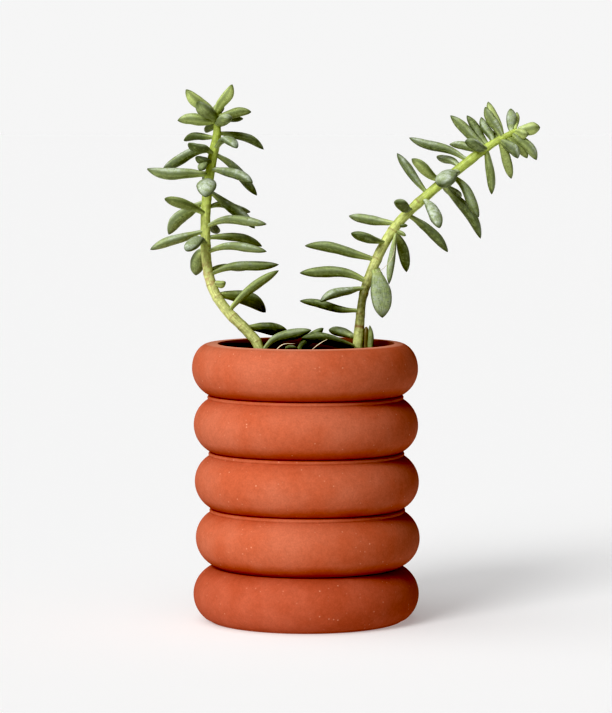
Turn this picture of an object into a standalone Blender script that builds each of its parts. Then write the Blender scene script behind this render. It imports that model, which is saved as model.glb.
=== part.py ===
"""Potted succulent: a slip-cast terracotta planter of stacked rings on its ring saucer, with soil and a trailing plant.

Metres, +Z up. The origin is the centre of the saucer's flat underside. -Y is the front, where the two long
shoots lean out to the left and to the right.
"""

import math

import bpy
import bmesh
from mathutils import Vector

MM = 0.001
UP = Vector((0, 0, 1))

# Turned ware
TURN_STEPS = 28
RING_PITCH = 33.3 * MM
RING_SECTION = 17.3 * MM
RING_MAJOR = 48.1 * MM
CREASE_FILLET = 2.2 * MM
WALL = 7.0 * MM
GAP = 0.3 * MM

SAUCER_MAJOR = 48.8 * MM
SAUCER_CENTRE = 15.5 * MM
SAUCER_TOP = 31.7 * MM
SAUCER_BASE_RADIUS = 55.5 * MM
WELL_RADIUS = 45.6 * MM
WELL_FLOOR = 8.0 * MM

POT_SEAT = SAUCER_TOP + GAP
FOOT_RADIUS = 43.2 * MM
FOOT_BOTTOM = 23.5 * MM
POT_FLOOR = FOOT_BOTTOM + WALL
DRAIN_RADIUS = 6.0 * MM
POT_RINGS = 4
FIRST_RING = 48.5 * MM
TOP_RING = FIRST_RING + (POT_RINGS - 1) * RING_PITCH
TOP_RING_REACH = 66.1 * MM
SHOULDER = (11.2 * MM, 14.7 * MM)
LIP_CREST = 163.0 * MM
LIP_UNDER = (50.4 * MM, 156.4 * MM)
OPENING_RADIUS = 48.6 * MM
# The casting leans a little: its top sits to the left of its foot
LEAN_FOOT = 1.2 * MM
LEAN_TOP = -0.9 * MM
PLANT_SHIFT = -0.9

SOIL_EDGE = 148.5 * MM
SOIL_CROWN = 151.5 * MM

# Shoots: points along each stem's centre line, from inside the soil to the growing tip, in mm
STEM_LEFT = [
    (-21, -11, 128), (-26, -10, 159), (-33, -8, 170), (-45, -6, 182), (-53, -4, 194),
    (-57, -2, 209), (-58, 0, 229), (-57, 1, 250), (-54, 0, 270), (-51, -1, 286), (-52, -2, 299),
]
STEM_RIGHT = [
    (30, -4, 128), (31, -6, 160), (32, -5, 173), (34, -4, 190), (39, -3, 205), (47, -2, 222),
    (57, -2, 236), (73, -3, 251), (90, -4, 265), (107, -5, 278), (124, -5, 288),
]
STEM_LOW = [(-1, -13, 132), (-3, -14, 150), (-5, -16, 160)]
STEM_RADIUS = (3.0, 2.2)
STEM_SIDES = 8
LEFT_CROWN = 287.5
RIGHT_CROWN = 274

# One row a leaf: name, height on the stem where it grows, tip (x, y, z), thickness, blade width, arch, all in mm
LEAVES_LEFT = [
    ("leaf_left_01", 286, (-24, 11, 276), 4.8, 7, 3),
    ("leaf_left_02", 278, (-39, -19, 277), 4.6, 8, 4),
    ("leaf_left_03", 283, (-71, 14, 281), 4.4, 7, 2),
    ("leaf_left_04", 274, (-67, -18, 280), 5.2, 8, 0),
    ("leaf_left_05", 277, (-83, 11, 265), 6.0, 8, 3),
    ("leaf_left_06", 262, (-92, -3, 265), 6.2, 9, -1),
    ("leaf_left_07", 275, (-28, 12, 249), 5.0, 8, 4),
    ("leaf_left_08", 265, (-30, -17, 257), 5.4, 8, 4),
    ("leaf_left_09", 258, (-57, -26, 249), 6.4, 10, 3),
    ("leaf_left_10", 253, (-29, 2, 230), 6.0, 8, 4),
    ("leaf_left_11", 243, (-32, 21, 239), 4.6, 7, 2),
    ("leaf_left_12", 232, (-22, -15, 233), 5.4, 8, 4),
    ("leaf_left_13", 239, (-81, -20, 248), 6.0, 8, 1),
    ("leaf_left_14", 247, (-80, 13, 226), 7.4, 10, 3),
    ("leaf_left_15", 229, (-90, -7, 218), 5.6, 9, 1),
    ("leaf_left_16", 222, (-68, -27, 218), 5.5, 9, 3),
    ("leaf_left_17", 220, (-64, 13, 202), 7.4, 9, 4),
    ("leaf_left_18", 225, (-25, 14, 219), 5.0, 8, 3),
    ("leaf_left_19", 217, (-22, -11, 217), 5.0, 8, 3),
    ("leaf_left_20", 204, (-15, 0, 209), 5.4, 9, 2),
    ("leaf_left_21", 182, (-15, -9, 206), 5.2, 8, 2),
    ("leaf_left_22", 192, (-23, 16, 180), 7.4, 10, 5),
    ("leaf_left_23", 173, (-10, 10, 171), 5.4, 8, 2),
    ("leaf_left_24", 262, (-58, 33, 253), 5.0, 7, 3),
    ("leaf_left_25", 230, (-51, 28, 227), 4.4, 6, 2),
    ("leaf_left_26", 206, (-32, 28, 206), 3.8, 8, 1),
    ("leaf_left_27", 271, (-61, -9, 264), 4.4, 6, 1),
]
LEAVES_RIGHT = [
    ("leaf_right_01", 182, (-3, -4, 188), 4.8, 8, 0),
    ("leaf_right_02", 196, (9, -15, 188), 5.0, 8, 3),
    ("leaf_right_03", 200, (-3, 1, 204), 6.4, 9, 3),
    ("leaf_right_04", 212, (0, 0, 220), 6.0, 9, 2),
    ("leaf_right_05", 222, (27, -19, 228), 6.0, 9, 0),
    ("leaf_right_06", 233, (26, 15, 237), 5.6, 8, 0),
    ("leaf_right_07", 241, (53, -24, 246), 5.4, 8, 0),
    ("leaf_right_08", 210, (45, -20, 179), 5.5, 12, 4),
    ("leaf_right_09", 232, (49, -12, 198), 6.0, 4, 1),
    ("leaf_right_10", 230, (60, 13, 204), 5.4, 7, 3),
    ("leaf_right_11", 239, (84, 6, 216), 5.4, 8, 2),
    ("leaf_right_12", 248, (78, -22, 231), 5.8, 8, 2),
    ("leaf_right_13", 250, (54, 4, 274), 5.0, 8, 0),
    ("leaf_right_14", 257, (62, -15, 271), 5.8, 8, 0),
    ("leaf_right_15", 264, (79, -24, 257), 6.2, 10, 2),
    ("leaf_right_16", 257, (103, 3, 224), 6.0, 9, 3),
    ("leaf_right_17", 262, (101, -13, 237), 5.4, 8, 2),
    ("leaf_right_18", 270, (61, 5, 283), 5.4, 8, 1),
    ("leaf_right_19", 257, (92, 30, 247), 4.6, 8, 0),
    ("leaf_right_20", 208, (44, 34, 190), 5.4, 9, 2),
    ("leaf_right_21", 266, (78, 18, 272), 4.6, 7, 1),
]
CROWN_LEFT = [
    (297, (-42, -6, 314), 5.2, 6, 0),
    (295, (-69, -6, 311), 5.6, 8, 0),
    (294, (-61, -15, 305), 4.6, 7, 0),
    (293, (-74, -3, 293), 5.6, 8, 2),
    (291, (-58, 13, 286), 4.0, 6, 1),
    (295, (-31, -3, 298), 4.6, 7, 1),
    (293, (-36, 11, 294), 3.8, 6, 1),
    (291, (-43, -17, 294), 5.6, 7, 2),
    (294, (-50, 16, 303), 4.4, 7, 1),
]
CROWN_RIGHT = [
    (277, (85, 13, 279), 4.4, 7, 0),
    (277, (93, -17, 281), 5.2, 7, 0),
    (277, (109, -4, 250), 5.0, 7, 2),
    (277, (85, 2, 296), 5.2, 7, 0),
    (278, (95, 9, 296), 4.2, 6, 0),
    (280, (103, 3, 295), 4.2, 6, 0),
    (283, (105, -3, 301), 5.2, 6, 0),
    (284, (107, 4, 304), 5.2, 6, 0),
    (286, (120, 1, 299), 5.0, 5, 0),
    (288, (137, -4, 288), 6.6, 6, 0),
    (282, (121, 6, 259), 4.6, 6, 3),
    (282, (125, -7, 271), 5.0, 6, 3),
    (284, (130, 2, 271), 5.4, 6, 3),
    (286, (136, -4, 270), 5.0, 6, 2),
    (281, (113, 22, 287), 4.6, 7, 1),
]
SIDE_BUDS_LEFT = [(197, (-46, -5, 199), 4.4, 5, 0)]
CROWN_LOW = [(157, (11, -18, 173), 5.6, 8, 2), (155, (-10, -40, 163), 5.2, 7, 2)]

# Low leaves by the rim: name, base, tip, thickness, blade width, arch, in mm
LEAVES_LOW = [
    ("leaf_low_01", (-23, -16, 161), (4, -22, 172), 5.6, 8, 3),
    ("leaf_low_02", (28, -12, 162), (-2, -30, 168), 6.5, 9, 2),
    ("leaf_low_03", (28, 1, 167), (15, 24, 169), 5.2, 9, 1),
    ("leaf_low_04", (37, -8, 152), (36, -9, 174), 3.6, 6, 0),
]

# Leaf outline: fraction of the length, share of the full blade width, share of the full thickness
LEAF_OUTLINE = [
    (0.0, 0.34, 0.50), (0.14, 0.62, 0.74), (0.42, 0.98, 1.0), (0.72, 0.92, 0.93),
    (0.91, 0.52, 0.56), (1.0, 0.10, 0.12),
]
# Leaf cross-section: flat above, keeled below, in half widths and half thicknesses
LEAF_SECTION = [(1.0, 0.15), (0.5, 0.82), (-0.5, 0.82), (-1.0, 0.15), (-0.5, -0.9), (0.5, -0.9)]


def srgb(code):
    """Turns a hex colour into the linear values a shader takes."""
    parts = [int(code[i:i + 2], 16) / 255 for i in (1, 3, 5)]
    return [p / 12.92 if p <= 0.04045 else ((p + 0.055) / 1.055) ** 2.4 for p in parts] + [1.0]


def make_material(name, colour, roughness):
    material = bpy.data.materials.new(name)
    material.use_nodes = True
    shader = material.node_tree.nodes["Principled BSDF"]
    shader.inputs["Base Color"].default_value = srgb(colour)
    shader.inputs["Roughness"].default_value = roughness
    shader.inputs["Metallic"].default_value = 0.0
    material.diffuse_color = srgb(colour)
    return material


def finish_object(name, bm, material, smooth=None):
    """Writes the mesh into a named object, with its faces pointing out."""
    bmesh.ops.recalc_face_normals(bm, faces=bm.faces[:])
    mesh = bpy.data.meshes.new(name)
    bm.to_mesh(mesh)
    bm.free()
    mesh.materials.append(material)
    mesh.shade_smooth()
    if smooth:
        mesh.set_sharp_from_angle(angle=math.radians(smooth))
    obj = bpy.data.objects.new(name, mesh)
    bpy.context.collection.objects.link(obj)
    return obj


def make_cutter(obj):
    obj.hide_render = True
    obj.display_type = "WIRE"


def join_by_boolean(obj, other, operation):
    modifier = obj.modifiers.new(operation.lower() + "_" + other.name, "BOOLEAN")
    modifier.operation = operation
    modifier.solver = "EXACT"
    modifier.object = other
    make_cutter(other)


def arc(centre_r, centre_z, radius, start, end, steps):
    """Points (r, z) along an arc of the profile, angles in degrees from the outward direction."""
    points = []
    for i in range(steps + 1):
        a = math.radians(start + (end - start) * i / steps)
        points.append((centre_r + radius * math.cos(a), centre_z + radius * math.sin(a)))
    return points


def ring_stack(section, fillet, steps, fillet_steps):
    """Profile up the pot's rings: each ring an arc, each crease between rings a small hollow fillet."""
    half = RING_PITCH / 2
    fillet_centre = RING_MAJOR + math.sqrt((RING_SECTION + CREASE_FILLET) ** 2 - half ** 2)
    lean = math.degrees(math.atan2(half, fillet_centre - RING_MAJOR))
    points = []
    for ring in range(POT_RINGS):
        z = FIRST_RING + ring * RING_PITCH
        low = -lean if ring else -90
        high = lean if ring < POT_RINGS - 1 else 90
        points.append(arc(RING_MAJOR, z, section, low, high, steps + (0 if ring else 2)))
        if ring < POT_RINGS - 1:
            hollow = arc(fillet_centre, z + half, fillet, 180 + lean, 180 - lean, fillet_steps)
            points.append(hollow[1:-1])
    return points


def inner_wall(clear):
    """Profile up the pot's inside, which follows its rings; clear moves it away from the wall."""
    inner = ring_stack(RING_SECTION - WALL - clear, CREASE_FILLET + WALL + clear, 3, 3)
    inner[0] = arc(RING_MAJOR, FIRST_RING, RING_SECTION - WALL - clear, -60, 57.8, 4)
    inner[-1] = arc(RING_MAJOR, TOP_RING, RING_SECTION - WALL - clear, -57, 33, 4) + [LIP_UNDER]
    return inner


def floor_corner(clear):
    """Where the pot's inside turns from its floor to the lowest ring, over the foot."""
    low = FOOT_RADIUS - WALL - clear
    return [(low, POT_FLOOR + clear), (low + 4 * MM, POT_FLOOR + clear + 5.5 * MM), (47 * MM, 39 * MM + clear)]


def turned(name, profile, material, on_axis, leaning=False):
    """Spins a profile of (r, z) points into a closed round body, then leans it as the casting leans."""
    bm = bmesh.new()
    verts = [bm.verts.new((r, 0, z)) for r, z in profile]
    edges = [bm.edges.new(pair) for pair in zip(verts, verts[1:])]
    if not on_axis:
        edges.append(bm.edges.new((verts[-1], verts[0])))
    bmesh.ops.spin(
        bm, geom=verts + edges, cent=(0, 0, 0), axis=(0, 0, 1), dvec=(0, 0, 0),
        angle=math.tau, steps=TURN_STEPS, use_merge=True, use_duplicate=False,
    )
    bmesh.ops.remove_doubles(bm, verts=bm.verts[:], dist=1e-6)
    if leaning:
        for vert in bm.verts:
            share = (vert.co.z - POT_SEAT) / (LIP_CREST - POT_SEAT)
            vert.co.x += LEAN_FOOT + (LEAN_TOP - LEAN_FOOT) * share
    return finish_object(name, bm, material, 35)


def make_saucer(material):
    """Ring saucer: one fat hollow-cast ring, flat below, with a well that takes the pot's foot and spare water."""
    low = math.degrees(math.asin((2.2 * MM - SAUCER_CENTRE) / RING_SECTION))
    high = math.degrees(math.asin((SAUCER_TOP - SAUCER_CENTRE) / RING_SECTION))
    profile = [(0, 0), (SAUCER_BASE_RADIUS, 0), (SAUCER_BASE_RADIUS + 2.2 * MM, 0.5 * MM)]
    profile += arc(SAUCER_MAJOR, SAUCER_CENTRE, RING_SECTION, low, high, 8)
    profile += [(WELL_RADIUS + 1.0 * MM, SAUCER_TOP), (WELL_RADIUS, SAUCER_TOP - 1.0 * MM)]
    profile += [(WELL_RADIUS, WELL_FLOOR + 3 * MM), (WELL_RADIUS - 3 * MM, WELL_FLOOR), (0, WELL_FLOOR)]
    return turned("saucer", profile, material, True)


def make_pot(material):
    """Four rings cast as one wall of even thickness, a foot below, a drain hole, and a rolled lip."""
    outer = ring_stack(RING_SECTION, CREASE_FILLET, 6, 2)
    inner = inner_wall(0)
    seat = math.degrees(math.asin((POT_SEAT - FIRST_RING) / RING_SECTION))
    outer[0] = arc(RING_MAJOR, FIRST_RING, RING_SECTION, seat, 57.8, 7)
    outer[-1] = arc(TOP_RING_REACH - RING_SECTION, TOP_RING, RING_SECTION, -57, 0, 3)
    for degrees in (22, 42, 60, 76):
        a = math.radians(degrees)
        reach = TOP_RING_REACH - SHOULDER[0] * (1 - math.cos(a))
        outer[-1].append((reach, TOP_RING + SHOULDER[1] * math.sin(a)))
    lip = [
        (OPENING_RADIUS + 3.6 * MM, LIP_CREST), (OPENING_RADIUS + 1.2 * MM, LIP_CREST - 1.0 * MM),
        (OPENING_RADIUS, LIP_CREST - 3.2 * MM), (OPENING_RADIUS + 0.3 * MM, LIP_UNDER[1] + 1.2 * MM),
    ]
    foot = [
        (DRAIN_RADIUS, POT_FLOOR), (DRAIN_RADIUS, FOOT_BOTTOM), (FOOT_RADIUS - 2 * MM, FOOT_BOTTOM),
        (FOOT_RADIUS, FOOT_BOTTOM + 2 * MM), (FOOT_RADIUS, POT_SEAT),
    ]
    profile = foot + [point for part in outer for point in part] + lip
    back = [point for part in inner for point in part]
    profile += back[::-1] + floor_corner(0)[::-1]
    return turned("pot", profile, material, False, True)


def make_soil(material):
    """Potting soil: fills the pot's inside up to a slightly heaped surface below the lip."""
    inner = inner_wall(GAP)
    inner[-1] = inner[-1][:3]
    side = [point for part in inner for point in part]
    profile = [(0, POT_FLOOR + GAP)] + floor_corner(GAP) + side
    profile += [(side[-1][0] - 4 * MM, SOIL_EDGE), (30 * MM, SOIL_CROWN - 0.6 * MM), (0, SOIL_CROWN)]
    return turned("soil", profile, material, True, True)


def planted(point):
    """A point of the plant in metres: the plant stands in the middle of the pot's opening."""
    return Vector((point[0] + PLANT_SHIFT, point[1], point[2])) * MM


def smooth_line(points, per_span=3):
    """A Catmull-Rom line through the given points, in metres."""
    p = [planted(q) for q in points]
    p = [p[0] * 2 - p[1]] + p + [p[-1] * 2 - p[-2]]
    line = []
    for i in range(1, len(p) - 2):
        for k in range(per_span):
            t = k / per_span
            a = p[i - 1] * (-t + 2 * t ** 2 - t ** 3)
            b = p[i] * (2 - 5 * t ** 2 + 3 * t ** 3)
            c = p[i + 1] * (t + 4 * t ** 2 - 3 * t ** 3)
            d = p[i + 2] * (-t ** 2 + t ** 3)
            line.append((a + b + c + d) / 2)
    line.append(p[-2])
    return line


def at_height(line, z):
    """The point on a stem at height z, the stem's direction there and its share of the length."""
    for i, (low, high) in enumerate(zip(line, line[1:])):
        if low.z <= z <= high.z or i == len(line) - 2:
            share = min(max((z - low.z) / (high.z - low.z), 0), 1)
            return low.lerp(high, share), (high - low).normalized(), (i + share) / (len(line) - 1)


def stem_radius(share):
    return (STEM_RADIUS[0] + (STEM_RADIUS[1] - STEM_RADIUS[0]) * share) * MM


def loft(bm, rings):
    """Bridges closed rings of points into a tube and fills both ends."""
    before = []
    first = None
    for points in rings:
        made = bmesh.ops.create_circle(bm, segments=len(points), radius=MM)["verts"]
        for vert, point in zip(made, points):
            vert.co = point
        edges = list({edge for vert in made for edge in vert.link_edges})
        if before:
            bmesh.ops.bridge_loops(bm, edges=before + edges)
        else:
            first = edges
        before = edges
    for end in (first, before):
        bmesh.ops.edgeloop_fill(bm, edges=end)


def tube_rings(line, extra=0.0, whole=None):
    """Rings round a stem's line; extra widens it all along."""
    total = whole or len(line) - 1
    rings = []
    for i, point in enumerate(line):
        ahead = (line[min(i + 1, len(line) - 1)] - line[max(i - 1, 0)]).normalized()
        side = ahead.cross(Vector((0, 1, 0))).normalized()
        other = side.cross(ahead)
        radius = stem_radius(i / total) + extra
        ring = []
        for k in range(STEM_SIDES):
            a = math.tau * k / STEM_SIDES
            ring.append(point + side * (radius * math.cos(a)) + other * (radius * math.sin(a)))
        rings.append(ring)
    return rings


def leaf_rings(base, tip, thick, blade, arch):
    """Rings of a leaf from base to tip: a bow upwards by arch, flat above, keeled below, pointed."""
    chord = tip - base
    side = chord.cross(UP).normalized()
    lift = side.cross(chord).normalized()
    middle = base + chord * 0.45 + lift * (arch * 2 * MM)
    rings = []
    for t, across, through in LEAF_OUTLINE:
        point = base * (1 - t) ** 2 + middle * (2 * t * (1 - t)) + tip * t ** 2
        ahead = ((middle - base) * (1 - t) + (tip - middle) * t).normalized()
        normal = side.cross(ahead).normalized()
        half_w = blade * MM / 2 * across
        half_t = thick * MM / 2 * through
        rings.append([point + side * (u * half_w) + normal * (v * half_t) for u, v in LEAF_SECTION])
    return rings


def leaf_on_stem(line, height, tip, thick, blade, arch, sunk):
    """A leaf growing from a stem: clear of its skin by the gap, or sunk into it where the two are one piece."""
    centre, along, share = at_height(line, height * MM)
    tip = planted(tip)
    start = (tip + UP * (arch * 2 * MM) - centre).normalized()
    slant = abs(start.dot(along))
    reach = stem_radius(share) + GAP * 1.4 + 0.25 * MM
    reach = (reach + max(thick, blade) * 0.25 * MM * slant) / math.sqrt(max(1 - slant ** 2, 0.2))
    base = centre + start * (0.3 * MM if sunk else reach)
    return leaf_rings(base, tip, thick, blade, arch)


def make_leaf(name, rings, material):
    bm = bmesh.new()
    loft(bm, rings)
    return finish_object(name, bm, material, 50)


def stem_parts(points, crown):
    """Splits a stem's line at the height where its crown starts, with the gap between the two."""
    line = smooth_line(points)
    cut, along, share = at_height(line, crown * MM)
    below = [p for p in line if p.z < cut.z - 0.5 * MM]
    above = [p for p in line if p.z > cut.z + 0.5 * MM]
    return line, below + [cut], [cut + along * GAP * 1.1] + above


def make_crown(name, line, top, rows, material, joined):
    """The shoot's end: the last of its stem with its small leaves grown together with it."""
    bm = bmesh.new()
    rings = tube_rings(top, whole=len(top) * 4)
    loft(bm, rings)
    crown = finish_object(name, bm, material, 50)
    for i, (height, tip, thick, blade, arch) in enumerate(rows):
        rings = leaf_on_stem(line, height, tip, thick, blade, arch, True)
        leaf = make_leaf(name + "_grown_" + str(i + 1), rings, joined)
        join_by_boolean(crown, leaf, "UNION")
    return crown


def make_stem(name, line, material):
    bm = bmesh.new()
    loft(bm, tube_rings(line, whole=len(line) * 1.2))
    return finish_object(name, bm, material, 50)


def cut_soil(soil, name, line, material):
    """Opens the soil round a stem by the gap."""
    bm = bmesh.new()
    rings = tube_rings(line, extra=GAP * 1.15, whole=len(line) * 1.2)[:7]
    loft(bm, [[p - UP * GAP * 1.2 for p in rings[0]]] + rings)
    cutter = finish_object(name, bm, material)
    join_by_boolean(soil, cutter, "DIFFERENCE")


def build():
    for obj in list(bpy.data.objects):
        bpy.data.objects.remove(obj, do_unlink=True)
    pot_clay = make_material("terracotta_pot", "#c56646", 0.85)
    saucer_clay = make_material("terracotta_saucer", "#c26244", 0.85)
    soil_mix = make_material("potting_soil", "#2f1d14", 0.95)
    stem_skin = make_material("stem_skin", "#a9b45f", 0.6)
    leaf_skin = make_material("leaf_skin", "#7e9a6c", 0.6)

    make_saucer(saucer_clay)
    make_pot(pot_clay)
    soil = make_soil(soil_mix)

    left, left_stem, left_top = stem_parts(STEM_LEFT, LEFT_CROWN)
    right, right_stem, right_top = stem_parts(STEM_RIGHT, RIGHT_CROWN)
    low = smooth_line(STEM_LOW)
    stem_left = make_stem("stem_left", left_stem, stem_skin)
    make_stem("stem_right", right_stem, stem_skin)
    for i, (height, tip, thick, blade, arch) in enumerate(SIDE_BUDS_LEFT):
        rings = leaf_on_stem(left, height, tip, thick, blade, arch, True)
        join_by_boolean(stem_left, make_leaf("bud_" + str(i + 1), rings, leaf_skin), "UNION")
    make_crown("crown_left", left, left_top, CROWN_LEFT, stem_skin, leaf_skin)
    make_crown("crown_right", right, right_top, CROWN_RIGHT, stem_skin, leaf_skin)
    make_crown("shoot_low", low, low, CROWN_LOW, stem_skin, leaf_skin)
    cut_soil(soil, "soil_hole_left", left_stem, soil_mix)
    cut_soil(soil, "soil_hole_right", right_stem, soil_mix)
    cut_soil(soil, "soil_hole_low", low, soil_mix)

    for line, rows in ((left, LEAVES_LEFT), (right, LEAVES_RIGHT)):
        for name, height, tip, thick, blade, arch in rows:
            make_leaf(name, leaf_on_stem(line, height, tip, thick, blade, arch, False), leaf_skin)
    for name, base, tip, thick, blade, arch in LEAVES_LOW:
        make_leaf(name, leaf_rings(planted(base), planted(tip), thick, blade, arch), leaf_skin)


build()
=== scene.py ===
"""Potted succulent: the finished look of a trailing plant in a planter of stacked clay rings.

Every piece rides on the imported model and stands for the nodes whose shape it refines.
"""

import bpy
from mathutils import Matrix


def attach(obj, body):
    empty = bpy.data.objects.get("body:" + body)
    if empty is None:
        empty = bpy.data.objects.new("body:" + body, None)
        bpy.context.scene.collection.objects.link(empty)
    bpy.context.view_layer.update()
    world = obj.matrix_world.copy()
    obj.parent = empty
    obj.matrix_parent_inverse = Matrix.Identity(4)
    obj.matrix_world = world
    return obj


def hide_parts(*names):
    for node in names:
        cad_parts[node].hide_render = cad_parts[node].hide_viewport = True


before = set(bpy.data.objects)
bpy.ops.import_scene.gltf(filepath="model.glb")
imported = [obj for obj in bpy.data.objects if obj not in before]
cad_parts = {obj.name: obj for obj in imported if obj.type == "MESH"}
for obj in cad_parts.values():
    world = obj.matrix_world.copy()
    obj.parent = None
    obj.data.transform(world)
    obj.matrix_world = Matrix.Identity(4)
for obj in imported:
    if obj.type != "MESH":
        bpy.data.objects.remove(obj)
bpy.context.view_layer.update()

import math
import random

import bmesh
import bpy
from bpy.props import FloatProperty, FloatVectorProperty, IntProperty, PointerProperty
from bpy.types import Operator, Panel, PropertyGroup
from mathutils import Euler, Matrix, Vector, noise

bl_info = {
    "name": "Potted Succulent",
    "version": (1, 0, 0),
    "blender": (4, 5, 0),
    "location": "View3D > Sidebar > Succulent",
    "description": "Builds a trailing succulent in a ringed clay planter, piece by piece",
    "category": "Object",
}

MM = 0.001
UP = Vector((0, 0, 1))
# Half the floor's width, in metres, so that its far edge is level with the horizon
FLOOR = 60.0

# ---------------------------------------------------------------- the plant, in mm

# The plant stands this far along X from where its points are written
PLANT_SHIFT = -0.9
# Points along the middle of each stem, from the soil to the growing tip
STEM_LEFT = (
    (-21, -11, 128), (-26, -10, 159), (-33, -8, 170), (-45, -6, 182), (-53, -4, 194), (-57, -2, 209),
    (-58, 0, 229), (-57, 1, 250), (-54, 0, 270), (-51, -1, 286), (-52, -2, 299),
)
STEM_RIGHT = (
    (30, -4, 128), (31, -6, 160), (32, -5, 173), (34, -4, 190), (39, -3, 205), (47, -2, 222),
    (57, -2, 236), (73, -3, 251), (90, -4, 265), (107, -5, 278), (124, -5, 288),
)
STEM_LOW = ((-1, -13, 132), (-3, -14, 150), (-5, -16, 160))

# How waxy, how young and how dark a leaf is, each from 0 to 1; partly the leaf's own colour and partly
# painted light and shade, paler where a leaf faces the light and darker where it lies in shade
TONES = {
    "young": (0.20, 1.00, 0.00),
    "fresh": (0.35, 0.75, 0.05),
    "pale": (0.75, 0.40, 0.00),
    "waxy": (1.00, 0.10, 0.05),
    "grey": (0.75, 0.15, 0.35),
    "mid": (0.45, 0.35, 0.30),
    "olive": (0.15, 0.55, 0.40),
    "dull": (0.40, 0.20, 0.50),
    "dark": (0.20, 0.15, 0.70),
    "moss": (0.25, 0.35, 0.55),
    "tip": (0.55, 1.00, 0.00),
}

# Leaves up the left stem: height on the stem, tip, thickness, blade width, arch, tone
LEAVES_LEFT = (
    (286, (-24, 11, 276), 4.8, 7, 3, "dull"),
    (278, (-39, -19, 277), 4.6, 8, 4, "waxy"),
    (283, (-71, 14, 281), 4.4, 7, 2, "dark"),
    (274, (-67, -18, 280), 5.2, 8, 0, "dull"),
    (277, (-83, 11, 265), 6.2, 8, 2, "grey"),
    (262, (-92, -3, 265), 6.6, 9, -1, "pale"),
    (275, (-28, 12, 249), 5.2, 8, 2, "grey"),
    (265, (-30, -17, 257), 5.8, 8, 2, "waxy"),
    (258, (-57, -26, 249), 7.2, 11.5, 3, "waxy"),
    (253, (-29, 2, 230), 6.0, 8, 1, "grey"),
    (243, (-32, 21, 239), 4.6, 7, 2, "pale"),
    (232, (-22, -15, 233), 5.4, 8, 3, "pale"),
    (239, (-81, -20, 248), 6.0, 8, 1, "olive"),
    (247, (-80, 13, 226), 7.4, 10, 3, "pale"),
    (229, (-90, -7, 218), 5.6, 9, 1, "pale"),
    (222, (-68, -27, 218), 5.5, 9, 3, "waxy"),
    (220, (-64, 13, 202), 7.6, 9, 3, "pale"),
    (225, (-25, 14, 219), 5.0, 8, 3, "mid"),
    (217, (-22, -11, 217), 5.0, 8, 3, "pale"),
    (204, (-15, 0, 209), 5.4, 9, 2, "mid"),
    (182, (-15, -9, 206), 5.2, 8, 2, "olive"),
    (192, (-23, 16, 180), 8.2, 10, 4, "moss"),
    (173, (-10, 10, 169), 7.0, 9, 1, "dark"),
    (262, (-58, 33, 253), 5.0, 7, 3, "grey"),
    (230, (-51, 28, 227), 4.4, 6, 2, "dull"),
    (206, (-32, 28, 206), 3.8, 8, 1, "mid"),
    (271, (-61, -9, 264), 4.4, 6, 1, "grey"),
)
# Leaves up the right stem
LEAVES_RIGHT = (
    (182, (-3, -4, 188), 4.8, 8, 0, "dark"),
    (196, (9, -15, 188), 5.4, 8, 2, "grey"),
    (200, (-3, 1, 204), 6.4, 9, 3, "moss"),
    (212, (0, 0, 220), 6.0, 9, 2, "moss"),
    (222, (27, -19, 228), 5.4, 9, 0, "dull"),
    (233, (26, 15, 237), 5.6, 8, 0, "mid"),
    (241, (53, -24, 246), 5.4, 8, 0, "dull"),
    (210, (45, -20, 179), 5.5, 12.5, 4, "dull"),
    (232, (49, -12, 198), 6.0, 4, 1, "mid"),
    (230, (60, 13, 204), 5.4, 7, 3, "dull"),
    (239, (84, 6, 216), 5.4, 8, 2, "dull"),
    (248, (78, -22, 231), 6.0, 8, 2, "waxy"),
    (250, (54, 4, 274), 5.0, 8, 0, "grey"),
    (257, (62, -15, 271), 5.8, 8, 0, "fresh"),
    (264, (78, -25, 256), 8.6, 12, 1, "waxy"),
    (257, (103, 3, 224), 6.0, 9, 3, "grey"),
    (262, (101, -13, 237), 5.4, 8, 2, "dull"),
    (270, (61, 5, 283), 5.4, 8, 1, "grey"),
    (257, (92, 30, 247), 4.6, 8, 0, "mid"),
    (208, (44, 34, 190), 5.4, 9, 2, "dull"),
    (266, (78, 18, 272), 4.6, 7, 1, "pale"),
)
# Small leaves of the two growing tips
CROWN_LEFT = (
    (297, (-42, -6, 314), 6.2, 6, 0, "young"),
    (295, (-69, -6, 311), 7.0, 8, 0, "young"),
    (293, (-62, -15, 304), 7.4, 9, 0, "pale"),
    (293, (-74, -3, 293), 6.6, 8, 1, "fresh"),
    (291, (-58, 13, 286), 4.0, 6, 1, "pale"),
    (295, (-31, -3, 298), 5.6, 7, 1, "olive"),
    (293, (-36, 11, 294), 3.8, 6, 1, "dark"),
    (291, (-43, -17, 294), 6.0, 8, 1, "pale"),
    (294, (-50, 16, 303), 4.4, 7, 1, "fresh"),
)
CROWN_RIGHT = (
    (277, (85, 13, 279), 4.8, 7, 0, "pale"),
    (277, (93, -17, 281), 6.0, 8, 0, "waxy"),
    (277, (109, -4, 250), 4.8, 7, 1, "mid"),
    (277, (85, 2, 296), 5.8, 7, 0, "mid"),
    (278, (95, 9, 296), 4.8, 6, 0, "dark"),
    (280, (103, 3, 295), 5.0, 6, 0, "grey"),
    (283, (105, -3, 301), 5.8, 6, 0, "pale"),
    (283, (107, 4, 304), 5.8, 6, 0, "young"),
    (286, (120, -2, 300), 5.6, 6, 0, "grey"),
    (287, (124, 4, 298), 3.2, 4, 0, "young"),
    (288, (137, -4, 289), 7.2, 7, 0, "tip"),
    (287, (130, -8, 285), 5.4, 6, 0, "young"),
    (282, (121, 6, 259), 4.8, 6, 1, "fresh"),
    (282, (124, -7, 271), 6.2, 7, 2, "grey"),
    (284, (130, 2, 271), 6.2, 7, 2, "fresh"),
    (286, (135, -4, 270), 5.8, 6, 2, "pale"),
    (281, (113, 22, 287), 4.6, 7, 1, "mid"),
)
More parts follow.
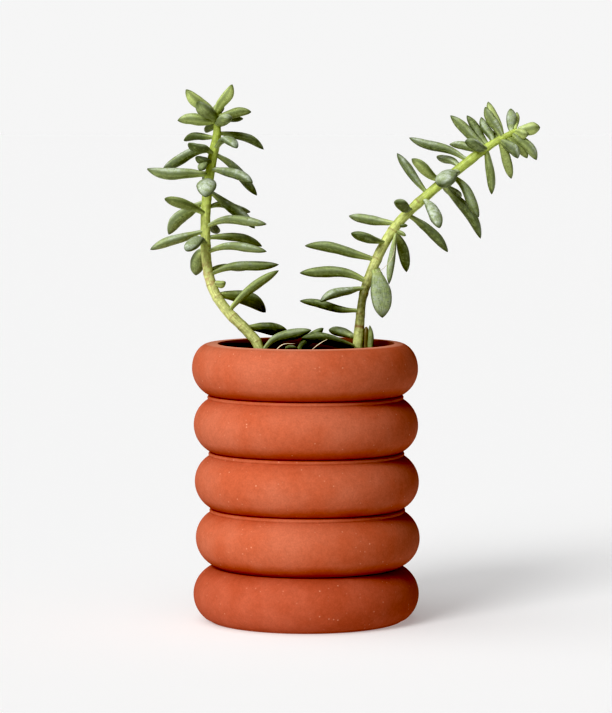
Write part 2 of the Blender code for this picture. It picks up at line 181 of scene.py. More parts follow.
# Buds in the angles of leaves, and the leaves of the short low shoot
BUDS_LEFT = ((197, (-46, -5, 199), 4.4, 5, 0, "young"), (268, (-63, -9, 272), 4.6, 7, 0, "grey"))
BUDS_RIGHT = ((230, (59, -6, 226), 2.6, 3, 0, "olive"), (232, (60, -5, 232), 2.2, 3, 0, "dark"))
LEAVES_SHOOT = (
    (157, (11, -18, 173), 5.6, 8, 2, "dark"),
    (155, (-10, -40, 163), 5.2, 7, 2, "dull"),
    (153, (6, -38, 160), 4.6, 6, 1, "dark"),
)
# Leaves that lie by the rim: base, tip, thickness, blade width, arch, tone
LEAVES_LOW = (
    ((-23, -16, 161), (4, -22, 172), 6.2, 8, 3, "dull"),
    ((28, -12, 162), (-2, -30, 168), 6.5, 9, 2, "dark"),
    ((28, 1, 167), (15, 24, 169), 5.4, 9, 1, "dull"),
    ((39, -7, 152), (38, -8, 174), 3.2, 4, 0, "pale"),
)
# Leaf scars up each long stem: height, side in degrees (0 to the left of the way up, 90 to the back), and how
# many degrees they reach to each side of it
SCARS_LEFT = (
    (164, 200, 100), (173.5, 300, 60), (178.5, 260, 90), (190, 240, 70), (197, 300, 50), (204, 220, 60),
    (219, 200, 50),
)
SCARS_RIGHT = (
    (180, 300, 60), (192, 200, 90), (212, 290, 60), (229, 240, 120), (245, 300, 50), (258, 230, 60),
)
# The dried stub of an older stem beside the right one
STEM_STUB = ((36, -5, 150), (35.5, -5, 162), (36, -5, 173))
# Dried slivers on the rim and a hair-thin aerial root
SLIVER_LONG = ((-17, -50, 162), (-12, -46, 165.4), (-5, -44, 165.6))
SLIVER_SHORT = ((4, -50, 162.5), (8.5, -47, 165.8), (13.5, -44, 168.5))
ROOT_HAIR = ((53, -4, 223), (51, -15, 214), (45, -16, 207), (38, -6, 203))

# The narrow band between two rings, as (out from the neck, up from its middle): a fine groove, a slightly
# proud band, and a deep corner above it
BAND = (
    (0.02, -1.45), (0.25, -1.15), (0.50, -0.70), (0.52, -0.20), (0.28, 0.35), (-0.20, 0.75), (-0.90, 1.05),
    (-1.50, 1.25), (-1.20, 1.45),
)


# ---------------------------------------------------------------- colours and settings


def linear(code):
    """The linear red, green and blue of an sRGB hex colour."""
    parts = [int(code[i:i + 2], 16) / 255 for i in (1, 3, 5)]
    return [p / 12.92 if p <= 0.04045 else ((p + 0.055) / 1.055) ** 2.4 for p in parts]


def count_setting(name, description, default):
    return IntProperty(name=name, description=description, default=default, min=8, max=256)


def number_setting(name, description, default):
    return FloatProperty(name=name, description=description, default=default, min=0)


def angle_setting(name, description, degrees):
    return FloatProperty(name=name, description=description, default=math.radians(degrees), subtype="ANGLE")


def length_setting(name, description, default):
    return FloatProperty(
        name=name, description=description, default=default, min=0, unit="LENGTH", subtype="DISTANCE",
    )


def colour_setting(name, description, code):
    return FloatVectorProperty(
        name=name, description=description, default=linear(code), size=3, min=0, max=1, subtype="COLOR",
    )


class PlanterSettings(PropertyGroup):
    """Sizes and colours of the pot, its saucer and the soil."""

    turn_steps: count_setting("Turn steps", "Facets round the turned ware", 160)
    ring_pitch: length_setting("Ring pitch", "Height from one ring's middle to the next", 33.3 * MM)
    ring_section: length_setting("Ring section", "Radius of a ring's round section", 17.3 * MM)
    ring_reach: length_setting("Ring reach", "Radius of the lower rings at their widest", 65.8 * MM)
    top_reach: length_setting("Top ring reach", "Radius of the top ring at its widest", 66.2 * MM)
    first_ring: length_setting("First ring height", "Height of the lowest pot ring's middle", 48.5 * MM)
    wall: length_setting("Wall", "Thickness of the cast wall", 7.0 * MM)
    neck: length_setting("Neck radius", "Radius of the narrow band between two rings", 57.0 * MM)
    lip_height: length_setting("Lip height", "Height of the lip's crest", 163.0 * MM)
    opening: length_setting("Opening radius", "Radius of the pot's mouth inside the lip", 48.8 * MM)
    saucer_reach: length_setting("Saucer reach", "Radius of the saucer ring at its widest", 66.3 * MM)
    saucer_top: length_setting("Saucer top", "Height of the saucer ring's top", 31.7 * MM)
    clay: colour_setting("Clay", "Fired clay body of the pot", "#c17a61")
    clay_red: colour_setting("Clay, redder", "Redder clouds in the pot's clay", "#bc6f54")
    saucer_clay: colour_setting("Saucer clay", "Fired clay body of the saucer", "#b96f58")
    saucer_red: colour_setting("Saucer clay, redder", "Redder clouds in the saucer's clay", "#b0644c")
    clay_sand: colour_setting("Sand", "Pale sand grains in the clay", "#e6bfa6")
    # Colour of the painted shade inside the pot's mouth
    mouth_shade: colour_setting("Damp stain", "Inside of the pot, stained by damp soil", "#6c4638")
    # Colour of the painted highlight along the lip's crest
    lip_highlight: colour_setting("Powdery edge", "Paler clay where the lip's edge is rubbed", "#e0a893")
    soil: colour_setting("Soil", "Damp potting mix", "#3c2a20")
    soil_bark: colour_setting("Bark", "Bark bits in the potting mix", "#6e4e39")


class PlantSettings(PropertyGroup):
    """Sizes and colours of the stems and the leaves."""

    stem_foot: length_setting("Stem radius, foot", "Radius of a stem at the soil", 3.1 * MM)
    stem_tip: length_setting("Stem radius, top", "Radius of a stem below its growing tip", 2.7 * MM)
    stem_end: length_setting("Stem radius, end", "Radius of a stem in its growing tip", 1.3 * MM)
    stem_sides: count_setting("Stem sides", "Facets round a stem", 24)
    stem_step: length_setting("Stem step", "Length of one facet along a stem", 0.6 * MM)
    leaf_sides: count_setting("Leaf sides", "Facets round a leaf", 20)
    leaf_stations: count_setting("Leaf stations", "Rings along a leaf", 26)
    flesh: colour_setting("Leaf flesh", "Grown leaf under its wax", "#8b996c")
    young: colour_setting("Young leaf", "Yellow-green of the newest growth", "#bdc985")
    wax: colour_setting("Wax bloom", "Pale blue-grey wax on the leaf skin", "#ccd4c8")
    # Also the colour of the painted shade on leaf undersides and on dark-toned leaves
    deep: colour_setting("Leaf edge", "Dark green of keels, margins and undersides", "#404f2a")
    stem: colour_setting("Stem", "Pale yellow-green stem", "#d3d894")
    stem_green: colour_setting("Stem, upper", "Greener stem near the tips", "#b9c86c")
    stem_olive: colour_setting("Stem, old", "Dull olive of an old shaded stem", "#6f7142")
    scar: colour_setting("Leaf scar", "Brown crescent where a leaf has dropped", "#80603c")
    blush: colour_setting("Blush", "Rosy patches on old stem skin", "#c69c78")
    straw: colour_setting("Straw", "Dried leaf slivers", "#d6cdb4")


class StageSettings(PropertyGroup):
    """The floor, the light and the surround."""

    paper: colour_setting("Paper", "Pale floor", "#f2f2f2")
    surround: colour_setting("Surround", "What is seen past the floor", "#f8f8f8")
    glow: number_setting("Floor glow", "Share of the floor's brightness that is its own", 0.38)
    black: FloatVectorProperty(
        name="Black level", description="Red, green and blue light that is shown as black",
        default=(0.040, 0.050, 0.050), size=3, min=0, subtype="COLOR",
    )
    gamma: number_setting("View gamma", "Contrast of the view, 1 for none added", 0.8)
    key_power: number_setting("Key", "Strength of the large soft light", 2.65)
    key_height: angle_setting("Key height", "Angle of the light above the floor", 30)
    key_side: angle_setting("Key side", "Angle of the light to the left of the front", 33)
    key_spread: angle_setting("Key spread", "How wide the soft light looks from the plant", 25)
    top_power: number_setting("Top", "Strength of the broad light overhead", 1.9)
    top_height: angle_setting("Top height", "Angle of the broad light above the floor", 62)
    top_side: angle_setting("Top side", "Angle of the broad light to the left of the front", 55)
    top_spread: angle_setting("Top spread", "How wide the broad light looks from the plant", 85)
    fill_power: number_setting("Fill", "Strength of the light from all round", 0.055)
    lens: number_setting("Lens", "Focal length of the camera in millimetres", 164.6)
    camera_distance: length_setting("Camera distance", "How far the camera stands in front", 1.905)
    camera_height: length_setting("Camera height", "Height of the camera above the floor", 0.294)
    camera_drop: angle_setting("Camera drop", "Angle that the camera looks down", 4.17)


# ---------------------------------------------------------------- materials


def feed(tree, node, inputs):
    """Feeds a node's inputs, given by name or in order, with values or with nodes or sockets."""
    for key, value in inputs.items() if isinstance(inputs, dict) else enumerate(inputs):
        if isinstance(value, bpy.types.Node):
            value = next(output for output in value.outputs if output.enabled)
        if isinstance(value, bpy.types.NodeSocket):
            tree.links.new(value, node.inputs[key])
        elif node.inputs[key].type == "RGBA" and len(value) == 3:
            node.inputs[key].default_value = (*value, 1)
        else:
            node.inputs[key].default_value = value


def add_node(tree, kind, inputs=(), **settings):
    """Adds a node with its settings and feeds it.

    A MapRange takes the value, then the low and high that it comes from, then those that it goes to.
    """
    node = tree.nodes.new("ShaderNode" + kind)
    for key, value in settings.items():
        setattr(node, key, value)
    feed(tree, node, inputs)
    return node


def start_material(name, colour):
    """A new node material, its tree and its shader."""
    material = bpy.data.materials.new(name)
    material.use_nodes = True
    material.diffuse_color = (*colour, 1)
    return material, material.node_tree, material.node_tree.nodes["Principled BSDF"]


def terracotta(name, clay, clay_red, sand):
    """Slip-cast terracotta, fired unglazed: dead matt, softly clouded, with pale sand and a fine grain."""
    material, tree, shader = start_material(name, clay)
    place = add_node(tree, "TexCoord").outputs["Object"]
    # Clouds in the fired colour about 25 mm across, finer ones of 3 mm, and grain, drawn at 1 mm so that it
    # shows
    clouds = add_node(tree, "TexNoise", {"Vector": place, "Scale": 1 / (25 * MM), "Detail": 3.0})
    mottle = add_node(tree, "TexNoise", {"Vector": place, "Scale": 1 / (3 * MM), "Detail": 4.0})
    grain = add_node(tree, "TexNoise", {"Vector": place, "Scale": 1 / MM, "Detail": 3.0, "Roughness": 0.7})
    cloudy = add_node(tree, "MapRange", [clouds, 0.35, 0.65])
    mottled = add_node(tree, "MapRange", [mottle, 0.3, 0.7, 0.95, 1.04])
    grainy = add_node(tree, "MapRange", [grain, 0.3, 0.7, 0.91, 1.07])
    body = add_node(tree, "Mix", {0: cloudy, 6: clay, 7: clay_red}, data_type="RGBA")
    value = add_node(tree, "Math", [mottled, grainy], operation="MULTIPLY")
    shaded = add_node(tree, "HueSaturation", {"Color": body, "Value": value})
    # Sand grains of 0.5 mm, drawn at about 0.9 mm so that they show, thicker on some clouds than on others
    cells = add_node(tree, "TexVoronoi", {"Vector": place, "Scale": 1 / (2.6 * MM), "Randomness": 1.0})
    near = add_node(tree, "MapRange", [cells.outputs["Distance"], 0.06, 0.24, 1.0, 0.0])
    chosen = add_node(tree, "SeparateColor", {"Color": cells.outputs["Color"]})
    few = add_node(tree, "MapRange", [chosen.outputs[0], 0.78, 1.0, 0.0, 0.6])
    thick = add_node(tree, "MapRange", [clouds, 0.4, 0.6, 0.2, 1.0])
    sandy = add_node(tree, "Math", [near, few], operation="MULTIPLY")
    sandy = add_node(tree, "Math", [sandy, thick], operation="MULTIPLY")
    colour = add_node(tree, "Mix", {0: sandy, 6: shaded, 7: sand}, data_type="RGBA")
    rough = add_node(tree, "MapRange", [grain, 0, 1, 0.78, 0.95])
    dents = add_node(tree, "Bump", {"Height": mottle, "Strength": 0.15, "Distance": 0.2 * MM})
    bump = add_node(tree, "Bump", {"Height": grain, "Strength": 0.35, "Distance": 0.12 * MM, "Normal": dents})
    feed(tree, shader, {"Base Color": colour, "Roughness": rough, "Normal": bump, "Specular IOR Level": 0.08})
    return material


def paint_pot_shading(material, ware):
    """Paints redder shade above each narrow band, shade inside the mouth, and a highlight along the lip's
    crest.
    """
    tree = material.node_tree
    shader = tree.nodes["Principled BSDF"]
    clay = shader.inputs["Base Color"].links[0].from_socket
    place = add_node(tree, "TexCoord").outputs["Object"]
    parts = add_node(tree, "SeparateXYZ", {0: place})
    flat = add_node(tree, "CombineXYZ", {0: parts.outputs[0], 1: parts.outputs[1]})
    radius = add_node(tree, "VectorMath", [flat], operation="LENGTH").outputs["Value"]
    ragged = add_node(tree, "TexNoise", {"Vector": place, "Scale": 1 / (5 * MM), "Detail": 3.0})

    # Painted shade, darker and redder, on the underside of each ring up to 8 mm above the band below it
    band = ware.first_ring + ware.ring_pitch / 2
    height = add_node(tree, "Math", [parts.outputs[2], band], operation="SUBTRACT")
    height = add_node(tree, "Math", [height, ware.ring_pitch, 0.0], operation="WRAP")
    rise = add_node(tree, "MapRange", [height, 0.6 * MM, 1.1 * MM])
    fall = add_node(tree, "MapRange", [height, 1.2 * MM, 8.0 * MM, 1.0, 0.0])
    crease_shade = add_node(tree, "Math", [rise, fall], operation="MULTIPLY")
    value = add_node(tree, "Math", [crease_shade, -0.24, 1.0], operation="MULTIPLY_ADD")
    depth = add_node(tree, "Math", [crease_shade, 0.12, 1.0], operation="MULTIPLY_ADD")
    crease_shaded = add_node(tree, "HueSaturation", {"Color": clay, "Value": value, "Saturation": depth})

    # Painted shade inside the mouth below the lip, with a ragged edge, and a painted highlight along the
    # crest
    edge = add_node(tree, "Math", [ragged, 1.4 * MM, parts.outputs[2]], operation="MULTIPLY_ADD")
    crest, mouth = ware.lip_height, ware.opening
    low = add_node(tree, "MapRange", [edge, crest + 1.4 * MM, crest + 0.4 * MM])
    inner = add_node(tree, "MapRange", [radius, mouth + 3.3 * MM, mouth + 2.6 * MM])
    # Painted shade inside the mouth, below the lip's crest
    damp = add_node(tree, "Math", [low, inner], operation="MULTIPLY")
    damp = add_node(tree, "Math", [damp, 0.95], operation="MULTIPLY")
    stained = add_node(tree, "Mix", {0: damp, 6: crease_shaded, 7: ware.mouth_shade}, data_type="RGBA")
    # Painted highlight along the top of the lip's crest, on its outer side
    top = add_node(tree, "MapRange", [parts.outputs[2], crest - 0.6 * MM, crest, 0, 0.8])
    outer = add_node(tree, "MapRange", [radius, mouth + 2.6 * MM, mouth + 3.3 * MM])
    painted_lip_highlight = add_node(tree, "Math", [top, outer], operation="MULTIPLY")
    rubbed = add_node(tree, "Mix", {0: painted_lip_highlight, 6: stained, 7: ware.lip_highlight}, data_type="RGBA")
    feed(tree, shader, {"Base Color": rubbed})


def potting_mix(soil, bark):
    """Peat and bark potting mix, damp: nearly black crumbs with browner bark bits."""
    material, tree, shader = start_material("potting_mix", soil)
    place = add_node(tree, "TexCoord").outputs["Object"]
    # Crumbs of 1.6 mm, and bark bits of 2.6 mm picked out at random
    size = 1 / (1.6 * MM)
    crumbs = add_node(tree, "TexNoise", {"Vector": place, "Scale": size, "Detail": 5.0, "Roughness": 0.65})
    bits = add_node(tree, "TexVoronoi", {"Vector": place, "Scale": 1 / (2.6 * MM)})
    chosen = add_node(tree, "SeparateColor", {"Color": bits.outputs["Color"]})
    barky = add_node(tree, "MapRange", [chosen.outputs[1], 0.6, 1.0, 0, 0.8])
    colour = add_node(tree, "Mix", {0: barky, 6: soil, 7: bark}, data_type="RGBA")
    dark = add_node(tree, "MapRange", [crumbs, 0.3, 0.7, 0.45, 1.3])
    shaded = add_node(tree, "HueSaturation", {"Color": colour, "Value": dark})
    rough = add_node(tree, "MapRange", [crumbs, 0, 1, 0.8, 1.0])
    bump = add_node(tree, "Bump", {"Height": crumbs, "Strength": 0.9, "Distance": 0.8 * MM})
    feed(tree, shader, {"Base Color": shaded, "Roughness": rough, "Normal": bump})
    return material


def read_attributes(tree, plant_part):
    """A skin's place and tone, taken apart, and its grain, which the patterns follow along and round it."""
    place, tone, grain = (
        add_node(tree, "Attribute", attribute_name=plant_part + kind).outputs["Vector"]
        for kind in ("_place", "_tone", "_grain")
    )
    return add_node(tree, "SeparateXYZ", [place]), add_node(tree, "SeparateXYZ", [tone]), grain


def leaf_skin(plant):
    """Succulent leaf skin: green flesh under a matt wax bloom, rubbed in patches, dark at the tip, with
    painted shade on the keel side.

    leaf_place is along, across and up, leaf_tone is wax, youth and darkness, and leaf_grain is mm along and
    round.
    """
    material, tree, shader = start_material("leaf_skin", plant.flesh)
    place, tone, grain = read_attributes(tree, "leaf")
    along, across, up = place.outputs
    wax, youth, dark = tone.outputs
    # Fibres 0.5 mm apart that run the leaf's length, wax mottling of 1.5 mm, and rubbed patches of 6 mm
    drawn = add_node(tree, "Mapping", {"Vector": grain, "Scale": (0.25, 2.0, 1.0)})
    fibres = add_node(tree, "TexNoise", {"Vector": drawn, "Scale": 1.0, "Detail": 3.0})
    mottle = add_node(tree, "TexNoise", {"Vector": grain, "Scale": 0.7, "Detail": 4.0, "Roughness": 0.6})
    patches = add_node(tree, "TexNoise", {"Vector": grain, "Scale": 0.16, "Detail": 2.0})

    # Base colour: flesh, with painted shade below and on dark-toned leaves, yellower near the stem and on
    # young leaves
    # Painted shade on the underside of each leaf
    below = add_node(tree, "MapRange", [up, 0.1, -0.8, 0, 0.6])
    shade = add_node(tree, "Math", [dark, 0.75, below], operation="MULTIPLY_ADD")
    streaked = add_node(tree, "Math", [fibres, 2.8, shade], operation="MULTIPLY_ADD")
    blotched = add_node(tree, "Math", [mottle, 3.4, streaked], operation="MULTIPLY_ADD")
    shade = add_node(tree, "Math", [blotched, 3.1], operation="SUBTRACT", use_clamp=True)
    flesh = add_node(tree, "Mix", {0: shade, 6: plant.flesh, 7: plant.deep}, data_type="RGBA")
    base = add_node(tree, "MapRange", [along, 0.3, 0.0, 0, 0.6])
    fresh = add_node(tree, "Math", [youth, 0.85, base], operation="MULTIPLY_ADD", use_clamp=True)
    green = add_node(tree, "Mix", {0: fresh, 6: flesh, 7: plant.young}, data_type="RGBA")

    # Wax: thickest above, a real bloom that also paints light on the tops, mottled, and rubbed off in patches
    rubbed = add_node(tree, "MapRange", [patches, 0.4, 0.6, 1.0, 0.3])
    flecked = add_node(tree, "MapRange", [mottle, 0.34, 0.66, 0.15, 1.45])
    above = add_node(tree, "MapRange", [up, -0.5, 0.4, 0.15, 1.0])
    coat = add_node(tree, "Math", [wax, rubbed], operation="MULTIPLY")
    coat = add_node(tree, "Math", [coat, flecked], operation="MULTIPLY")
    coat = add_node(tree, "Math", [coat, above], operation="MULTIPLY", use_clamp=True)
    coat = add_node(tree, "Math", [coat, 0.85], operation="MULTIPLY")
    waxed = add_node(tree, "Mix", {0: coat, 6: green, 7: plant.wax}, data_type="RGBA")

    # Dark line along the margins, a dark point at the tip, and small dark pits of 1 mm
    edge = add_node(tree, "Math", [across], operation="ABSOLUTE")
    margin = add_node(tree, "MapRange", [edge, 0.84, 1.0, 0, 0.55])
    point = add_node(tree, "MapRange", [along, 0.86, 0.99, 0, 0.8])
    pitted = add_node(tree, "TexNoise", {"Vector": grain, "Scale": 1.3, "Detail": 2.0})
    pits = add_node(tree, "MapRange", [pitted, 0.6, 0.7, 0, 0.5])
    lines = add_node(tree, "Math", [margin, point], operation="MAXIMUM")
    lines = add_node(tree, "Math", [lines, pits], operation="MAXIMUM")
    colour = add_node(tree, "Mix", {0: lines, 6: waxed, 7: plant.deep}, data_type="RGBA")

    rough = add_node(tree, "MapRange", [mottle, 0.3, 0.7, 0.48, 0.68])
    ribs = add_node(tree, "Bump", {"Height": fibres, "Strength": 0.6, "Distance": 0.2 * MM})
    bump = add_node(tree, "Bump", {"Height": mottle, "Strength": 0.3, "Distance": 0.12 * MM, "Normal": ribs})
    feed(tree, shader, {"Base Color": colour, "Roughness": rough, "Normal": bump, "Specular IOR Level": 0.35})
    return material


def stem_skin(plant):
    """Smooth herbaceous stem skin: pale yellow-green, rosy or dull olive in places, brown at leaf scars.

    stem_place is share of the length, scar strength and olive, stem_tone is rosiness and brown, and
    stem_grain is mm along and round.
    """
    material, tree, shader = start_material("stem_skin", plant.stem)
    place, tone, grain = read_attributes(tree, "stem")
    share, scar, olive = place.outputs
    rosy, dried, _ = tone.outputs
    # Fibres 0.6 mm apart along the stem, and blotches of 2 mm
    drawn = add_node(tree, "Mapping", {"Vector": grain, "Scale": (0.2, 1.6, 1.0)})
    fibres = add_node(tree, "TexNoise", {"Vector": drawn, "Scale": 1.0, "Detail": 3.0})
    spots = add_node(tree, "TexNoise", {"Vector": grain, "Scale": 0.5, "Detail": 4.0})
    upper = add_node(tree, "MapRange", [share, 0.45, 0.75])
    skin = add_node(tree, "Mix", {0: upper, 6: plant.stem, 7: plant.stem_green}, data_type="RGBA")
    uneven = add_node(tree, "MapRange", [spots, 0.4, 0.65, 0.0, 0.35])
    olive_amount = add_node(tree, "Math", [olive, uneven], operation="ADD", use_clamp=True)
    skin = add_node(tree, "Mix", {0: olive_amount, 6: skin, 7: plant.stem_olive}, data_type="RGBA")
    fibrous = add_node(tree, "MapRange", [fibres, 0.3, 0.7, 0.72, 1.15])
    ribbed = add_node(tree, "HueSaturation", {"Color": skin, "Value": fibrous})
    spotted = add_node(tree, "MapRange", [spots, 0.45, 0.6, 0, 0.9])
    blushed = add_node(tree, "Math", [spotted, rosy], operation="MULTIPLY", use_clamp=True)
    skin = add_node(tree, "Mix", {0: blushed, 6: ribbed, 7: plant.blush}, data_type="RGBA")
    brown = add_node(tree, "Math", [scar, dried], operation="MAXIMUM")
    colour = add_node(tree, "Mix", {0: brown, 6: skin, 7: plant.scar}, data_type="RGBA")
    rough = add_node(tree, "MapRange", [spots, 0, 1, 0.42, 0.62])
    bump = add_node(tree, "Bump", {"Height": fibres, "Strength": 0.5, "Distance": 0.15 * MM})
    feed(tree, shader, {"Base Color": colour, "Roughness": rough, "Normal": bump})
    return material


def dry_straw(plant):
    """Dried leaf sliver: papery, pale tan, with fibres along it."""
    material, tree, shader = start_material("dry_straw", plant.straw)
    place = add_node(tree, "TexCoord").outputs["Object"]
    fibres = add_node(tree, "TexNoise", {"Vector": place, "Scale": 1 / (0.9 * MM), "Detail": 3.0})
    worn = add_node(tree, "MapRange", [fibres, 0.3, 0.7, 0.65, 1.15])
    colour = add_node(tree, "HueSaturation", {"Color": plant.straw, "Value": worn})
    rough = add_node(tree, "MapRange", [fibres, 0, 1, 0.6, 0.85])
    bump = add_node(tree, "Bump", {"Height": fibres, "Strength": 0.5, "Distance": 0.1 * MM})
    feed(tree, shader, {"Base Color": colour, "Roughness": rough, "Normal": bump})
    return material


def named_material(name, make, *parts):
    """The material of that name, made the first time it is asked for."""
    return bpy.data.materials.get(name) or make(*parts)


# ---------------------------------------------------------------- shapes


def numbered(name, rows):
    """The names of a row of nodes, counted from 01, or the name alone where there are no rows."""
    return ["%s_%02d" % (name, i + 1) for i in range(len(rows))] or [name]


def finish_piece(name, bm, material, slot, *nodes, smooth=60):
    """Writes the mesh into a named piece that rides on the plant's body and stands for its CAD nodes."""
    bmesh.ops.recalc_face_normals(bm, faces=bm.faces[:])
    mesh = bpy.data.meshes.new(name)
    bm.to_mesh(mesh)
    bm.free()
    mesh.materials.append(material)
    mesh.shade_smooth()
    mesh.set_sharp_from_angle(angle=math.radians(smooth))
    piece = bpy.data.objects.new(name, mesh)
    bpy.context.collection.objects.link(piece)
    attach(piece, "root")
    if nodes:
        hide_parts(*nodes)
    return piece


def arc(centre_r, centre_z, across, up, start, end, steps):
    """Points (r, z) along part of an ellipse, angles in degrees from the outward direction."""
    angles = [math.radians(start + (end - start) * i / steps) for i in range(steps + 1)]
    return [(centre_r + across * math.cos(a), centre_z + up * math.sin(a)) for a in angles]


def lean(z):
    """How far along X the casting stands at a height, because it leans a little to the left."""
    return (1.2 - 2.1 * (z - 32 * MM) / (131 * MM)) * MM


def turned(profile, steps, closed, leaning):
    """Spins a profile of (r, z) points into a closed round body, and leans it as the casting leans."""
    bm = bmesh.new()
    verts = [bm.verts.new((r, 0, z)) for r, z in profile]
    edges = [bm.edges.new(pair) for pair in zip(verts, verts[1:])]
    if closed:
        edges.append(bm.edges.new((verts[-1], verts[0])))
    bmesh.ops.spin(
        bm, geom=verts + edges, cent=(0, 0, 0), axis=(0, 0, 1), dvec=(0, 0, 0),
        angle=math.tau, steps=steps, use_merge=True, use_duplicate=False,
    )
    bmesh.ops.remove_doubles(bm, verts=bm.verts[:], dist=1e-6)
    if leaning:
        for vert in bm.verts:
            vert.co.x += lean(vert.co.z)
    return bm


def sweep(bm, sides, stations, place):
    """Maps a sphere's rings along a line: place turns the share of the length and the angle into a point."""
    made = bmesh.ops.create_uvsphere(bm, u_segments=sides, v_segments=stations, radius=1.0)["verts"]
    spots = []
    for vert in made:
        share = round(math.acos(max(-1.0, min(1.0, vert.co.z))) / math.pi * stations) / stations
        spots.append((vert, share, math.atan2(vert.co.y, vert.co.x)))
    for vert, share, angle in spots:
        vert.co = place(share, angle)
    return spots


def planted(point):
    """A point of the plant in metres."""
    return Vector((point[0] + PLANT_SHIFT, point[1], point[2])) * MM


def smooth_line(points, per_span=12):
    """A smooth line through the given points, in metres."""
    p = [planted(q) for q in points]
    p = [p[0] * 2 - p[1]] + p + [p[-1] * 2 - p[-2]]
    line = []
    for i in range(1, len(p) - 2):
        for k in range(per_span):
            t = k / per_span
            a = p[i - 1] * (-t + 2 * t ** 2 - t ** 3)
            b = p[i] * (2 - 5 * t ** 2 + 3 * t ** 3)
            c = p[i + 1] * (t + 4 * t ** 2 - 3 * t ** 3)
            d = p[i + 2] * (-t ** 2 + t ** 3)
            line.append((a + b + c + d) / 2)
    line.append(p[-2])
    return line


def at_share(line, share):
    """The point at a share of a line's points, and the line's direction there."""
    where = share * (len(line) - 1)
    i = min(int(where), len(line) - 2)
    ahead = line[min(i + 2, len(line) - 1)] - line[max(i - 1, 0)]
    return line[i].lerp(line[i + 1], where - i), ahead.normalized()


def at_height(line, z):
    """The share of a stem's line at which it reaches height z."""
    for i, (low, high) in enumerate(zip(line, line[1:])):
        if low.z <= z <= high.z or i == len(line) - 2:
            return (i + min(max((z - low.z) / (high.z - low.z), 0), 1)) / (len(line) - 1)


def stem_radius(plant, share):
    """Radius of a stem at a share of its length: nearly even, then thinner through the growing tip."""
    even = plant.stem_foot + (plant.stem_tip - plant.stem_foot) * share
    return even - (even - plant.stem_end) * max(0, (share - 0.84) / 0.16) ** 1.3


def skin_layers(bm, plant_part):
    """The attributes that a skin's patterns read: place, tone and grain."""
    layers = bm.verts.layers.float_vector
    names = [plant_part + kind for kind in ("_place", "_tone", "_grain")]
    return [layers.get(name) or layers.new(name) for name in names]


def peak(share, middle, width):
    """A smooth peak of 1 round a middle."""
    return math.exp(-((share - middle) / width) ** 2)


def grow_stem(bm, plant, line, scars, tone, slim):
    """A stem along its line, swollen a little at each scar, which is a raised crescent.

    Scars are (share, angle, reach). At a share of the length, tone gives how olive, rosy and brown the stem
    is, and slim how thick it is, as a share of the usual.
    """
    place, shade, grain = skin_layers(bm, "stem")
    length = sum((b - a).length for a, b in zip(line, line[1:]))

    def scar_at(share, angle):
        found = 0.0
        for where, side, reach in scars:
            turn = (angle - side + math.pi) % math.tau - math.pi
            rise = (share - where) * length - 0.7 * MM * math.cos(turn)
            if abs(turn) < reach:
                found = max(found, peak(rise, 0, 0.36 * MM) * min(1, (reach - abs(turn)) * 2.2))
        return found

    def point(share, angle):
        centre, ahead = at_share(line, share)
        side = ahead.cross(Vector((0, 1, 0))).normalized()
        other = side.cross(ahead)
        radius = stem_radius(plant, share) * slim(share)
        for where, _, _ in scars:
            radius += 0.2 * MM * peak(share, where, 1.7 * MM / length)
        radius += 0.12 * MM * scar_at(share, angle)
        radius += 0.16 * MM * noise.noise(Vector((share * 40, math.cos(angle), math.sin(angle))))
        # Rounded off over the last 1.5 mm, and over the first 0.5 mm
        end = min(1.0, (1 - share) * length / (1.5 * MM), share * length / (0.5 * MM))
        radius *= math.sqrt(max(0.0, 1 - (1 - end) ** 2))
        return centre + side * (radius * math.cos(angle)) + other * (radius * math.sin(angle))

    for vert, share, angle in sweep(bm, plant.stem_sides, round(length / plant.stem_step), point):
        olive, rosy, brown = tone(share)
        vert[place] = (share, 0.7 * scar_at(share, angle), olive)
        vert[shade] = (rosy, brown, 0)
        vert[grain] = (share * length / MM, angle * 2.6, length / MM)


def leaf_outline(t):
    """Share of the full blade width at a share t of a leaf's length.

    It is narrow at the stem, full past its middle, then pointed.
    """
    foot = 0.46 + 0.54 * math.sin(min(1, max(0, t / 0.62)) * math.pi / 2) ** 1.15
    tip = (1 - max(0, (t - 0.55) / 0.45) ** 2.7) ** 0.8 if t < 1 else 0
    return max(foot * tip, 0)


